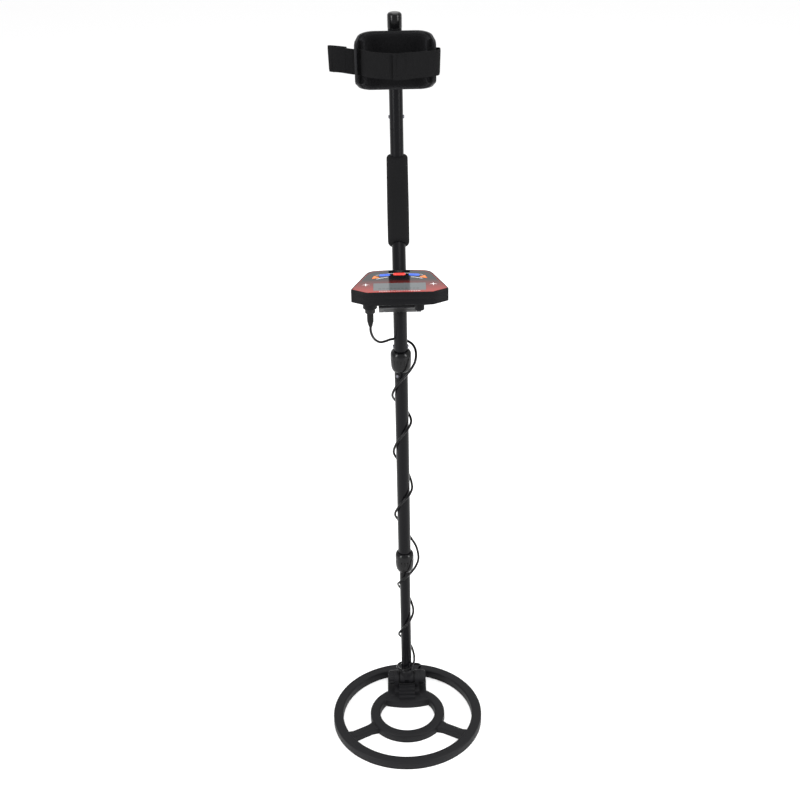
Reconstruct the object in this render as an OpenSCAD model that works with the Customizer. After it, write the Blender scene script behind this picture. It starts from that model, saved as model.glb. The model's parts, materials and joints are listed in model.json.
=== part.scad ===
// Hand-held metal detector: an open ring search coil, a telescopic shaft with two lock nuts,
// an S-shaped handle tube with a foam grip, a control box and a padded arm cup.
// Millimetres. +Z is up along the shaft, -Y is the front, towards the middle of the coil.
// The origin is the point on the ground straight below the coil hinge, on the shaft's axis.

/* [Search coil] */
// Outside diameter of the search coil
coil_d = 230; // [220:1:250]
// Width of the outer and the inner ring, seen from above
ring_w = 15; // [13:0.5:18]
// Thickness of the coil
coil_h = 13; // [12:0.5:16]
// Outside diameter of the inner ring
inner_ring_d = 115; // [108:1:120]
// Distance from the middle of the coil back to the hinge
coil_to_hinge = 62; // [60:1:66]
// Width of the neck that carries the hinge
neck_w = 61; // [58:1:70]
// Width of each front spoke
spoke_w = 13; // [10:1:16]

/* [Hinge] */
// Height of the hinge bolt above the ground
hinge_z = 29; // [28:1:34]
// Diameter of the hinge bolt
bolt_d = 8; // [6:1:9]
// Radius of the two hinge ears
ear_r = 11.5; // [11:0.5:13]
// Thickness of each hinge ear
ear_t = 7; // [5:0.5:8]

/* [Shaft] */
// Outside diameter of the lower tube
lower_tube_d = 16; // [15.5:0.5:16]
// Outside diameter of the middle, handle and arm tubes
tube_d = 19; // [19:0.5:20]
// Wall of every tube
tube_wall = 1.2; // [1:0.1:1.3]
// Height of the underside of the lower lock nut
lower_nut_z = 238; // [232:1:240]
// Height of the underside of the upper lock nut
upper_nut_z = 579; // [576:1:580]
// Length of the lower tube that is hidden inside the middle tube
hidden_tube = 290; // [280:1:300]

/* [Handle] */
// Height at which the handle tube starts to bend back
bend_z = 666; // [660:1:670]
// Radius of both bends, at the tube's axis
bend_r = 55; // [50:1:60]
// Angle of both bends
bend_angle = 50; // [46:1:54]
// Straight length between the bends
slope_l = 129; // [120:1:140]
// Outside diameter of the foam grip
grip_d = 30.5; // [28:0.5:33]
// Height of the top of the end cap
top_z = 1043; // [1040:1:1050]

/* [Control box] */
// Greatest width of the control box
box_w = 129; // [125:1:133]
// Height of the front face of the control box
box_front_h = 18; // [16:1:20]
// Height of the control panel above the ground
panel_z = 724.5; // [722:0.5:727]
// Wall of the control box
box_wall = 2.2; // [1.8:0.1:2.6]
// How far the panel keys stand proud
key_rise = 0.6; // [0.4:0.1:0.9]

/* [Arm cup] */
// Height of the lower edge of the arm cup
cup_z = 942; // [938:1:946]
// Length of the arm cup along the tube
cup_l = 79; // [74:1:84]
// Thickness of the arm cup's plastic
cup_t = 3; // [2.5:0.5:3.5]
// Thickness of the foam pad
pad_t = 6; // [4:0.5:7]
// Width of the strap
strap_w = 34; // [30:1:36]

/* [Cable] */
// Diameter of the coil cable
cable_d = 3.6; // [3.2:0.2:3.8]

/* [Hidden] */
$fn = 48;

tube_r = tube_d / 2;
bore_r = tube_r - tube_wall;
lower_r = lower_tube_d / 2;
running = 0.06;        // radial clearance of a running fit
gap = 0.3;             // clearance between faces that pass each other
skin = 0.01;           // depth of a slice that only guides a hull
coil_r = coil_d / 2;
inner_r = inner_ring_d / 2;
base_t = 2;            // thickness of the coil's bottom cover
shell_t = 2.4;         // wall of the coil housing
bolt_r = bolt_d / 2;
ear_x = 12.4;          // inner face of each ear
foot_x = 10.6;         // half the width of the foot between the ears
knob_t = 9;
lower_end_z = 46;      // bottom end of the lower tube
middle_end_z = lower_nut_z + 15;
joint_z = upper_nut_z + 19;          // where the middle and the handle tube meet
nut_h = 33;
upper_nut_h = 31;
collet_r = 11.8;
nut_floor = 8;         // the lock nuts are solid below this height
joint_button_z = upper_nut_z - 6;
handle_button_z = upper_nut_z + upper_nut_h + 6;
joint_button_turn = -32;             // turned from the front towards the left
button_r = 2.6;
bend_step = 0.04;      // the tube is this much thinner in its bends
bend_over = 0.8;       // degrees that a bend runs into the straights
button_proud = 1.6;
arm_y = 2 * bend_r * (1 - cos(bend_angle)) + slope_l * sin(bend_angle);
slope_y = bend_r * (1 - cos(bend_angle));
slope_z = bend_z + bend_r * sin(bend_angle);
upper_bend_z = bend_z + 2 * bend_r * sin(bend_angle) + slope_l * cos(bend_angle);
arm_joint_z = 885;
arm_button_z = 901;
cap_h = 20;
grip_start = 54;       // distance up the slope to the lower end of the grip
grip_top_z = upper_bend_z + 13;
box_floor_z = panel_z - box_front_h;
split_z = panel_z - 9.5;             // where the box's base and cover meet
box_half = box_w / 2;
box_mid_y = -23.9;
box_half_l = 38.1;
boss_x = 28.5;
boss_z = 676;
clamp_x = 18;
door_x = 22;
socket_at = [-40, -47];
jack_at = [26, -48];     // over the coil's open middle, so a long plug can reach it
jack_z = 694;
jack_r = 4;
jack_bore_r = 1.8;
jack_depth = 12;
dish_z = 692;               // the dish's lowest face
post_z = 701.5;             // the posts for the box's screws
post_r = 4.2;
screw_r = 1.5;
screw_head_r = 3;
lcd_y = [-54.5, -30];
lcd_x = 35;
board_z = 708;
key_turn = 18;
cup_back_y = arm_y - tube_r;         // the cup's back rests on the front of the tube
cup_corner = 24;
cup_flat = 26;
cup_flare = 9.6;
cup_lip = 25;
cup_front_y = cup_back_y - 45;
strap_z = cup_z + 30;
strap_t = 1.8;

// The coil cable, from its plug to the coil: [x, y, z] points that the tube passes through.
// It winds down round the shaft, clear of both lock nuts.
upper_route = [
    [-40, -47, 669], [-40, -46, 662], [-38, -41, 652], [-34, -31, 641], [-28, -19, 632],
    [-21, -6, 627], [-13, 6, 624], [-3, 13, 621], [8, 14, 618], [17, 10, 613], [21, 2, 606],
    [20, -8, 597], [15, -14, 589], [8, -16, 580], [-1, -14, 568], [-9, -10, 555], [-13, -1, 540],
    [-10, 9, 527], [0, 13, 515], [9, 9, 505], [13, 0, 497], [9, -9, 490], [0, -13, 480],
    [-9, -9, 464], [-13, 0, 446], [-9, 9, 430], [0, 13, 415], [9, 9, 400], [13, 0, 386],
    [9, -9, 378], [0, -13, 369], [-9, -9, 354], [-13, 0, 338], [-9, 9, 323], [0, 13, 305],
    [10, 11, 288], [18, 6, 275], [21, -4, 262], [17, -11, 252], [9, -15, 242], [0, -13, 231],
    [-8, -8, 220], [-11, 0, 211], [-8, 8, 199], [0, 11, 187], [8, 8, 174], [12, 0, 160],
    [8, -8, 150], [0, -12, 140], [-8, -8, 127], [-11, 0, 115], [-8, 8, 104], [0, 11, 93],
    [8, 9, 83], [12, 3, 71], [12, 0, 67]
];
lower_route = [
    [12, 0, 67], [12, -3, 63], [8, -10, 58], [0, -13, 54], [-8, -11, 52], [-14, -3, 50],
    [-12, 8, 49], [-4, 13, 48], [4, 13, 46], [10, 12, 45], [14, 12, 45]
];
tail_route = [
    [14, 12, 45], [17, 12, 45], [20, 14, 42], [22, 18, 37], [22, 23, 31], [20.5, 26, 26],
    [20, 26, 22.8]
];

// ---- helpers ----

// Points on an arc about c from angle a0 to a1
function arc(c, r, a0, a1, n) = [
    for (i = [0 : n])
        let (a = a0 + (a1 - a0) * i / n)
        [c[0] + r * cos(a), c[1] + r * sin(a)]
];
function reversed(p) = [for (i = [len(p) - 1 : -1 : 0]) p[i]];
function mirrored(p) = [for (q = p) [-q[0], q[1]]];
function unit(v) = v / norm(v);
// The tangent of a route at point i
function tangent(p, i) = unit(p[min(i + 1, len(p) - 1)] - p[max(i - 1, 0)]);
// A frame carried along a route, so the tube doesn't twist
function carried(p, i, n0) = i == 0
    ? unit(n0 - (n0 * tangent(p, 0)) * tangent(p, 0))
    : let (n = carried(p, i - 1, n0), t = tangent(p, i)) unit(n - (n * t) * t);
// A ribbon of thickness t that follows a flat path
function side_of(p, i) = let (d = tangent(p, i)) [-d[1], d[0]];
function ribbon(p, t) = concat(
    [for (i = [0 : len(p) - 1]) p[i] + side_of(p, i) * t / 2],
    [for (i = [len(p) - 1 : -1 : 0]) p[i] - side_of(p, i) * t / 2]
);

// A round cord swept along a route, as one closed solid
module cord(route, d, sides = 8) {
    n = len(route);
    rings = [
        for (i = [0 : n - 1])
            let (t = tangent(route, i), u = carried(route, i, [0, 0.3, 1]), v = cross(t, u))
            for (k = [0 : sides - 1])
                route[i] + d / 2 * (cos(360 * k / sides) * u + sin(360 * k / sides) * v)
    ];
    walls = [
        for (i = [0 : n - 2])
            for (k = [0 : sides - 1])
                let (a = i * sides + k, b = i * sides + (k + 1) % sides)
                [a, a + sides, b + sides, b]
    ];
    first = [for (k = [0 : sides - 1]) k];
    last = [for (k = [sides - 1 : -1 : 0]) (n - 1) * sides + k];
    polyhedron(points = rings, faces = concat(walls, [first, last]));
}

// A plain tube or rod along Z
module rod(r, z0, z1) translate([0, 0, z0]) cylinder(r = r, h = z1 - z0);

// A rod along X, centred on x
module cross_rod(r, x0, x1) translate([x0, 0, 0]) rotate([0, 90, 0]) cylinder(r = r, h = x1 - x0);

// The handle tube's path as a solid of radius r, from z0 up to z1 on the arm.
// Each bend is a hair thinner than the straights and runs a little way into them
module handle_run(r, z0, z1) {
    rod(r, z0, bend_z);
    lower_bend(r - bend_step, bend_over);
    slope_run(r, 0, slope_l);
    upper_bend(r - bend_step, bend_over);
    translate([0, arm_y, 0])
        rod(r, upper_bend_z, z1);
}
module slope_run(r, from, to) {
    translate([0, slope_y, slope_z])
        rotate([-bend_angle, 0, 0])
            rod(r, from, to);
}
// A bend of radius r, longer than its angle by over degrees at each end
module lower_bend(r, over) {
    translate([0, bend_r, bend_z])
        rotate([90, 0, -90])
            rotate([0, 0, -over])
                rotate_extrude(angle = bend_angle + 2 * over)
                    translate([bend_r, 0])
                        circle(r);
}
module upper_bend(r, over) {
    translate([0, arm_y - bend_r, upper_bend_z])
        rotate([90, 0, 90])
            rotate([0, 0, -bend_angle - over])
                rotate_extrude(angle = bend_angle + 2 * over)
                    translate([bend_r, 0])
                        circle(r);
}

// A bar section with rounded top corners, for the rings of the coil
module soft_section(r0, r1, z0, z1, round) {
    translate([r0, z0])
        square([r1 - r0, z1 - z0 - round]);
    translate([r0 + round, z0])
        square([r1 - r0 - 2 * round, z1 - z0]);
    for (x = [r0 + round, r1 - round])
        translate([x, z1 - round])
            circle(round);
}

module at_coil() translate([0, -coil_to_hinge, 0]) children();

// ---- search coil ----

module spoke_plan(w) {
    r0 = inner_r - ring_w / 2;
    r1 = coil_r - ring_w / 2;
    for (a = [210, 330])
        rotate(a)
            polygon([
                [r0, -w / 2 - 4], [r0 + 16, -w / 2], [r1 - 14, -w / 2], [r1, -w / 2 - 5],
                [r1, w / 2 + 5], [r1 - 14, w / 2], [r0 + 16, w / 2], [r0, w / 2 + 4]
            ]);
}
module plate_plan(inset) {
    edge_r = 99;
    intersection() {
        circle(inner_r - ring_w / 2 - inset);
        translate([0, 21 + edge_r])
            circle(edge_r - inset);
    }
}
module neck_plan(inset) {
    translate([-neck_w / 2 + inset, inner_r - ring_w + 1])
        square([neck_w - 2 * inset, coil_r - inner_r]);
}
module ring_plan(r) {
    difference() {
        circle(r);
        circle(r - ring_w);
    }
}
module ear_profile() {
    circle(ear_r);
    translate([-ear_r, coil_h - hinge_z - 1])
        square([2 * ear_r, hinge_z - coil_h + 1]);
}

module coil_housing() color([0.1, 0.1, 0.11]) {
    difference() {
        union() {
            at_coil() {
                rotate_extrude($fn = 96)
                    soft_section(coil_r - ring_w, coil_r, base_t, coil_h, 2.5);
                rotate_extrude($fn = 96)
                    soft_section(inner_r - ring_w, inner_r, base_t, coil_h, 2.5);
                translate([0, 0, base_t])
                    linear_extrude(coil_h - base_t - 2.5)
                        spoke_plan(spoke_w);
                translate([0, 0, base_t])
                    linear_extrude(coil_h - base_t - 1)
                        plate_plan(0);
                translate([0, 0, base_t])
                    linear_extrude(coil_h - base_t)
                        neck_plan(0);
            }
            hinge_ears();
            ribbed_buttress();
        }
        at_coil() {
            winding_channel(coil_r);
            winding_channel(inner_r);
            translate([0, 0, base_t - skin])
                linear_extrude(coil_h - base_t - shell_t)
                    plate_plan(10);
        }
        translate([0, 0, hinge_z])
            cross_rod(bolt_r + 0.1, -40, 40);
        translate([20, 26, base_t - skin])
            cylinder(r = 2.6, h = coil_h);
    }
}
module winding_channel(r) {
    rotate_extrude($fn = 96)
        translate([r - ring_w + shell_t, base_t - skin])
            square([ring_w - 2 * shell_t, coil_h - base_t - shell_t]);
}
// Two ears that stand on the neck, with the bolt between them
module hinge_ears() {
    for (x = [-ear_x - ear_t, ear_x])
        translate([x, 0, hinge_z])
            rotate([90, 0, 90])
                linear_extrude(ear_t)
                    ear_profile();
}
// Steps that climb from the plate to the foot of the hinge
module ribbed_buttress() {
    steps = 4;
    for (i = [0 : steps - 1])
        translate([-ear_x - 0.1, -34 + 5.5 * i, coil_h - 3])
            cube([2 * ear_x + 0.2, 21.5 - 5.5 * i, 3 + 3 * (i + 1)]);
    for (side = [-1, 1])
        translate([side * (ear_x + ear_t / 2) - ear_t / 2, -24, coil_h - 3])
            cube([ear_t, 20, 9]);
}

module coil_base() color([0.08, 0.08, 0.09]) {
    at_coil()
        linear_extrude(base_t) {
            ring_plan(coil_r, $fn = 96);
            ring_plan(inner_r, $fn = 96);
            spoke_plan(spoke_w);
            plate_plan(0);
            neck_plan(0);
        }
}

module winding(r) {
    at_coil()
        rotate_extrude($fn = 96)
            translate([r - ring_w / 2 - 3.5, base_t + 1])
                square([7, 6]);
}
module transmit_winding() color([0.72, 0.42, 0.2]) winding(coil_r);
module receive_winding() color([0.72, 0.42, 0.2]) winding(inner_r);

module cable_gland() color([0.07, 0.07, 0.07]) {
    translate([20, 26, 0]) {
        rod(2.5, base_t + 1, coil_h);
        rod(5.5, coil_h, coil_h + 2.5);
        translate([0, 0, coil_h + 2.5])
            cylinder(r1 = 4.2, r2 = 2.4, h = 23 - coil_h - 2.5);
    }
}

// ---- hinge ----

module hinge_bolt() color([0.12, 0.12, 0.12]) {
    head_x = ear_x + ear_t;
    translate([0, 0, hinge_z])
        difference() {
            union() {
                cross_rod(bolt_r, -head_x - knob_t - 1.5, head_x);
                cross_rod(ear_r, head_x, head_x + 8);
                cross_rod(ear_r - 1.5, head_x + 8, head_x + 9.5);
            }
            cross_rod(4, head_x + 6, head_x + 12, $fn = 6);
        }
}

module hinge_knob() color([0.1, 0.1, 0.1]) {
    x1 = -ear_x - ear_t - gap;
    x0 = x1 - knob_t;
    flutes = 8;
    translate([0, 0, hinge_z])
        difference() {
            union() {
                cross_rod(ear_r - 0.5, x0 + 1.5, x1);
                cross_rod(ear_r - 2, x0, x0 + 1.5);
            }
            cross_rod(bolt_r + running, x0 - 1, x1 + 1);
            for (i = [0 : flutes - 1])
                rotate([360 * i / flutes, 0, 0])
                    translate([0, 0, ear_r + 0.6])
                        cross_rod(2.4, x0 - 1, x1 - 1.5);
        }
}

module hinge_washers() color([0.16, 0.16, 0.16]) {
    for (x = [-ear_x + 0.1, foot_x + 0.1])
        translate([0, 0, hinge_z])
            difference() {
                cross_rod(9.5, x, x + ear_x - foot_x - 0.2);
                cross_rod(bolt_r + running, x - 1, x + 4);
            }
}

module shaft_foot() color([0.09, 0.09, 0.09]) {
    difference() {
        union() {
            translate([0, 0, hinge_z])
                cross_rod(10.5, -foot_x, foot_x);
            rod(9.8, hinge_z, lower_end_z - 2);
            translate([0, 0, lower_end_z - 2])
                cylinder(r1 = 9.8, r2 = lower_r + 0.2, h = 2);
            rod(lower_r - tube_wall - 0.05, lower_end_z, lower_end_z + 34);
        }
        translate([0, 0, hinge_z])
            cross_rod(bolt_r + running, -foot_x - 1, foot_x + 1);
        translate([-3, -20, hinge_z - 20])
            cube([6, 12, 22]);
        translate([0, 0, lower_end_z + 24])
            cross_rod(2.02, -20, 20);
    }
}

module foot_pin() color([0.7, 0.7, 0.72])
    translate([0, 0, lower_end_z + 24])
        cross_rod(2, -lower_r + 0.05, lower_r - 0.05);

// ---- shaft ----

module lower_tube() color([0.09, 0.09, 0.1]) {
    top = lower_nut_z + hidden_tube;
    difference() {
        rod(lower_r, lower_end_z, top);
        rod(lower_r - tube_wall, lower_end_z - 1, top + 1);
        translate([0, 0, lower_end_z + 24])
            cross_rod(2.02, -20, 20);
    }
}

module guide_bush() color([0.85, 0.85, 0.8]) {
    top = lower_nut_z + hidden_tube;
    rod(lower_r - tube_wall - 0.05, top - 18, top);
    rod(bore_r - running, top, top + 8);
}

// A split sleeve that a lock nut squeezes. It is glued round the tube above it
module collet(z0, z1, step_z, lower_bore) {
    difference() {
        rod(collet_r, z0, z1);
        rod(lower_bore, z0 - 1, step_z + skin);
        rod(tube_r + 0.05, step_z, z1 + 1);
        for (a = [0, 90])
            rotate(a)
                translate([-20, -0.75, z0 - 1])
                    cube([40, 1.5, step_z - z0 - 1]);
    }
}
module lower_collet() color([0.2, 0.2, 0.2])
    collet(lower_nut_z + nut_floor + 0.5, lower_nut_z + nut_h - 5, middle_end_z, lower_r + running);
module upper_collet() color([0.2, 0.2, 0.2])
    collet(upper_nut_z + nut_floor + 0.5, upper_nut_z + upper_nut_h - 4, joint_z - 2, tube_r + 0.05);

// A lock nut: a bottle-shaped cap nut, widest near its top, with shallow grip grooves.
// profile holds [radius, height] pairs up the outside
module lock_nut(z0, profile, h, low_bore, high_bore) {
    grooves = 18;
    difference() {
        translate([0, 0, z0])
            rotate_extrude($fn = 72)
                polygon(concat([[0, 0]], profile, [[0, h]]));
        rod(low_bore, z0 - 1, z0 + nut_floor + 2);
        rod(collet_r + gap, z0 + nut_floor, z0 + h - 3.5);
        rod(high_bore, z0 + nut_floor + 1, z0 + h + 1);
        for (i = [0 : grooves - 1])
            rotate(360 * (i + 0.5) / grooves)
                translate([profile[4][0] + 0.5, 0, z0 - 1])
                    cylinder(r = 0.9, h = h * 0.68, $fn = 16);
    }
}
module lower_lock_nut() color([0.08, 0.08, 0.08])
    lock_nut(lower_nut_z, [[9.6, 0], [11, 0.8], [12.5, 3.5], [13.3, 7.5], [13.7, 13], [13.9, 20],
        [13.9, 26], [13.5, 29.5], [12.4, 31.8], [11, nut_h]],
        nut_h, lower_r + 0.4, tube_r + 0.4);
module upper_lock_nut() color([0.08, 0.08, 0.08])
    lock_nut(upper_nut_z, [[10.8, 0], [12, 1], [13.2, 3.5], [14, 7.5], [14.3, 13], [14.6, 19],
        [14.6, 24.5], [14.2, 27.6], [13, 29.8], [11.6, upper_nut_h]],
        upper_nut_h, tube_r + 0.4, tube_r + 0.4);

module button_hole(z, turn) {
    translate([0, 0, z])
        rotate(turn)
            rotate([90, 0, 0])
                cylinder(r = button_r + 0.08, h = 20);
}
// A domed pin that springs out through a hole in the tube, at an angle turned from the front
module snap_button(z, turn) {
    dome = 0.9;
    translate([0, 0, z])
        rotate(turn)
            rotate([90, 0, 0]) {
                translate([0, 0, 5.2])
                    cylinder(r = button_r, h = tube_r + button_proud - dome - 5.2);
                translate([0, 0, tube_r + button_proud - dome])
                    cylinder(r1 = button_r, r2 = button_r - 1, h = dome);
            }
}

module middle_tube() color([0.09, 0.09, 0.1]) {
    difference() {
        rod(tube_r, middle_end_z, joint_z - 0.5);
        rod(bore_r, middle_end_z - 1, joint_z + 1);
        button_hole(joint_button_z, joint_button_turn);
    }
}

module sleeve(z0, z1) {
    difference() {
        rod(bore_r - 0.05, z0, z1);
        rod(bore_r - 1.25, z0 - 1, z1 + 1);
    }
}
module joint_sleeve() color([0.3, 0.3, 0.31]) {
    difference() {
        sleeve(upper_nut_z - 22, handle_button_z + 20);
        button_hole(joint_button_z, joint_button_turn);
        button_hole(handle_button_z, 90);
        button_hole(handle_button_z, -90);
    }
}
module joint_button() color([0.75, 0.75, 0.77]) snap_button(joint_button_z, joint_button_turn);

// ---- handle ----

module handle_tube() color([0.09, 0.09, 0.1]) {
    difference() {
        handle_run(tube_r, joint_z, arm_joint_z - 0.25);
        handle_run(bore_r, joint_z - 1, arm_joint_z + 1);
        button_hole(handle_button_z, 90);
        button_hole(handle_button_z, -90);
    }
}
module handle_button_left() color([0.75, 0.75, 0.77]) snap_button(handle_button_z, -90);
module handle_button_right() color([0.75, 0.75, 0.77]) snap_button(handle_button_z, 90);

module foam_grip() color([0.07, 0.07, 0.07]) {
    difference() {
        grip_run(grip_d / 2, 0);
        grip_run(tube_r + 0.05, 1);
    }
}
module grip_run(r, over) {
    slope_run(r, grip_start - over, slope_l);
    upper_bend(r - bend_step, bend_over);
    translate([0, arm_y, 0])
        rod(r, upper_bend_z, grip_top_z + over);
}

module at_arm() translate([0, arm_y, 0]) children();

module arm_sleeve() color([0.3, 0.3, 0.31]) at_arm() {
    difference() {
        sleeve(arm_joint_z - 32, arm_button_z + 16);
        button_hole(arm_button_z, 90);
        button_hole(arm_button_z, -90);
    }
}
module arm_button_left() color([0.75, 0.75, 0.77]) at_arm() snap_button(arm_button_z, -90);
module arm_button_right() color([0.75, 0.75, 0.77]) at_arm() snap_button(arm_button_z, 90);

cup_bolt_z = [cup_z + 14, cup_z + 52];
module arm_tube() color([0.09, 0.09, 0.1]) at_arm() {
    difference() {
        rod(tube_r, arm_joint_z + 0.25, top_z - cap_h);
        rod(bore_r, arm_joint_z - 1, top_z - cap_h + 1);
        button_hole(arm_button_z, 90);
        button_hole(arm_button_z, -90);
        for (z = cup_bolt_z)
            translate([0, 20, z])
                rotate([90, 0, 0])
                    cylinder(r = 2.55, h = 40);
    }
}

module end_cap() color([0.07, 0.07, 0.07]) at_arm() {
    r = tube_r + 0.3;
    round = 4;
    rod(bore_r - 0.05, top_z - cap_h - 18, top_z - cap_h);
    rod(r, top_z - cap_h, top_z - round);
    translate([0, 0, top_z - round])
        rotate_extrude()
            intersection() {
                translate([r - round, 0])
                    circle(round);
                square([r, round]);
            }
    rod(r - round, top_z - round, top_z);
}

// The folded leaf springs behind the snap buttons
module button_springs() color([0.6, 0.6, 0.62]) {
    for (at = [[0, handle_button_z], [arm_y, arm_button_z]])
        translate([0, at[0], at[1] - 12]) {
            for (x = [-2.6, 2])
                translate([x, -2.5, 0])
                    cube([0.6, 5, 20]);
            translate([-2.6, -2.5, -0.6])
                cube([5.2, 5, 0.6]);
        }
}

// ---- arm cup ----

// One half of the cup's section at a depth below its outer face, with a lip of length l
function cup_half(depth, l) =
    let (c = [cup_flat, cup_back_y - cup_corner], curve = arc(c, cup_corner - depth, 90, cup_flare, 10))
    concat([[0, cup_back_y - depth]], curve,
        [curve[10] + l * [sin(cup_flare), -cos(cup_flare)]]);
// The closed section between two depths
function cup_section(d0, d1, l) = concat(
    cup_half(d0, l), reversed(cup_half(d1, l)), mirrored(cup_half(d1, l)), reversed(mirrored(cup_half(d0, l)))
);

// The cup seen from the side: its lower edge climbs to the front. inset moves the outline inwards
module cup_side(inset) {
    round = 8;
    lip_z = [cup_z + 26, cup_z + cup_l - 12];
    translate([-80, 0, 0])
        rotate([90, 0, 90])
            linear_extrude(160)
                polygon(concat(
                    [[150, cup_z + inset], [cup_back_y - 2, cup_z + inset]],
                    reversed(arc([cup_front_y + round, lip_z[0]], round - inset, 180, 240, 6)),
                    reversed(arc([cup_front_y + round, lip_z[1]], round - inset, 100, 180, 6)),
                    [[cup_back_y - 2, cup_z + cup_l - inset], [150, cup_z + cup_l - inset]]
                ));
}
module arm_cup() color([0.08, 0.08, 0.08]) {
    difference() {
        union() {
            intersection() {
                translate([0, 0, cup_z])
                    linear_extrude(cup_l)
                        polygon(cup_section(0, cup_t, cup_lip));
                cup_side(0);
            }
            translate([-11, cup_back_y - 1, cup_z + 4])
                cube([22, 8, cup_l - 14]);
        }
        at_arm()
            rod(tube_r + 0.05, cup_z - 1, cup_z + cup_l + 1);
        for (side = [-1, 1])
            translate([side * 52 - 7, cup_front_y + 8, strap_z - 1.5])
                cube([14, 5, strap_w + 3]);
        for (z = cup_bolt_z)
            translate([0, arm_y, z])
                rotate([90, 0, 0])
                    cylinder(r = 2.6, h = 20);
    }
}

module cup_bolts() color([0.55, 0.55, 0.57]) {
    for (z = cup_bolt_z)
        translate([0, cup_back_y - cup_t, z])
            rotate([-90, 0, 0]) {
                cylinder(r = 2.5, h = 28);
                translate([0, 0, -1.6])
                    cylinder(r = 4.6, h = 1.6);
            }
}
module cup_nuts() color([0.1, 0.1, 0.1]) {
    for (z = cup_bolt_z)
        translate([0, arm_y + tube_r, z])
            rotate([-90, 0, 0])
                difference() {
                    union() {
                        cylinder(r = 6.5, h = 1.2);
                        cylinder(r = 5, h = 5, $fn = 6);
                    }
                    cylinder(r = 2.55, h = 12, center = true);
                }
}

module arm_pad() color([0.06, 0.06, 0.06]) {
    difference() {
        intersection() {
            translate([0, 0, cup_z])
                linear_extrude(cup_l)
                    polygon(cup_section(cup_t + 0.05, cup_t + pad_t, 8));
            cup_side(2);
        }
        for (z = cup_bolt_z)
            translate([0, cup_back_y - cup_t + 1, z])
                rotate([90, 0, 0])
                    cylinder(r = 5, h = 3);
    }
}

// The strap's two halves, seen from above: the right one is on top of the left one
right_path = [
    [43, 97], [49, 94.5], [57, 93], [58.5, 88], [55.5, 81], [44, 76], [25, 72.5], [8, 71], [-3, 71]
];
left_path = [
    [22, 75.3], [8, 73.8], [-8, 73.6], [-25, 75.5], [-36, 80], [-43, 88], [-48, 93.2], [-55, 94.2],
    [-62, 96], [-74, 99], [-86, 99], [-88, 101.5], [-86, 104], [-74, 104], [-64, 103]
];
module band(path) {
    translate([0, 0, strap_z])
        linear_extrude(strap_w)
            polygon(ribbon(path, strap_t));
}
module strap_right() color([0.05, 0.05, 0.05]) band(right_path);
module strap_left() color([0.05, 0.05, 0.05]) band(left_path);

// ---- control box ----

// Half of the box seen from above, moved in by an inset
function box_half_plan() = concat(
    [[0, -62], [44.5, -62], [box_half, -50], [60.3, -38]],
    arc([30.5, -3], 15.5, 20, 80, 6),
    [[18, 13.8], [0, 14.2]]
);
function shrunk(p, inset) = [
    for (q = p)
        [q[0] * (box_half - inset) / box_half,
         box_mid_y + (q[1] - box_mid_y) * (box_half_l - inset) / box_half_l]
];
module box_plan(inset) {
    half = shrunk(box_half_plan(), inset);
    polygon(concat(half, reversed(mirrored(half))));
}
// The shallow dish below the walls
module box_dish(inset, low_z) {
    hull() {
        translate([0, 0, box_floor_z])
            linear_extrude(skin)
                box_plan(inset);
        translate([-30 + inset, -32 + inset, low_z])
            cube([60 - 2 * inset, 36 - 2 * inset, skin]);
    }
}
// The boss that holds the battery and the tube, and the battery bay inside it
module box_boss() {
    translate([-boss_x, 0, 0])
        rotate([90, 0, 90])
            linear_extrude(2 * boss_x)
                polygon([[-46, 698], [-46, 695.5], [-18, boss_z], [14, boss_z], [14, 706.6]]);
}
module battery_bay() {
    translate([-boss_x + box_wall, 0, 0])
        rotate([90, 0, 90])
            linear_extrude(2 * (boss_x - box_wall))
                polygon([
                    [-41.6, 698], [-41.6, 695.5], [-16.9, boss_z + 2.2], [-12, boss_z + 2.2],
                    [-7, 692], [-7, 698]
                ]);
}
screw_at = [[-50, -42], [50, -42], [-37, 2], [37, 2]];

module box_base() color([0.09, 0.09, 0.1]) {
    difference() {
        union() {
            difference() {
                union() {
                    translate([0, 0, box_floor_z])
                        linear_extrude(split_z - box_floor_z)
                            box_plan(0);
                    box_dish(0, dish_z);
                    box_boss();
                }
                translate([0, 0, box_floor_z - skin])
                    linear_extrude(split_z)
                        box_plan(box_wall);
                box_dish(box_wall, dish_z + box_wall);
                battery_bay();
            }
            for (p = screw_at)
                translate([p[0], p[1], post_z])
                    cylinder(r = post_r, h = split_z - post_z);
            translate([socket_at[0], socket_at[1], 697])
                cylinder(r = 9.5, h = 11);
            translate([jack_at[0], jack_at[1], jack_z])
                cylinder(r = jack_r + 2.5, h = 10);
        }
        lower_bend(tube_r + 0.1, 12);
        translate([-clamp_x - 0.1, 0.9, boss_z - 1])
            cube([2 * clamp_x + 0.2, 20, 16.1]);
        for (x = [-14, 14])
            translate([x, -8, boss_z + 7])
                rotate([-90, 0, 0])
                    cylinder(r = 1.5, h = 30);
        for (p = screw_at)
            translate([p[0], p[1], 690]) {
                cylinder(r = screw_head_r + 0.2, h = 14);
                cylinder(r = screw_r + 0.1, h = 40);
            }
        translate([socket_at[0], socket_at[1], 680]) {
            cylinder(r = 7.5, h = 20);
            cylinder(r = 6.05, h = 30);
        }
        translate([jack_at[0], jack_at[1], jack_z - 1])
            cylinder(r = jack_r + 0.05, h = 30);
        translate([-door_x - 0.2, -36.2, boss_z - 1])
            cube([2 * door_x + 0.4, 24, 17.2]);
    }
}

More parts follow.
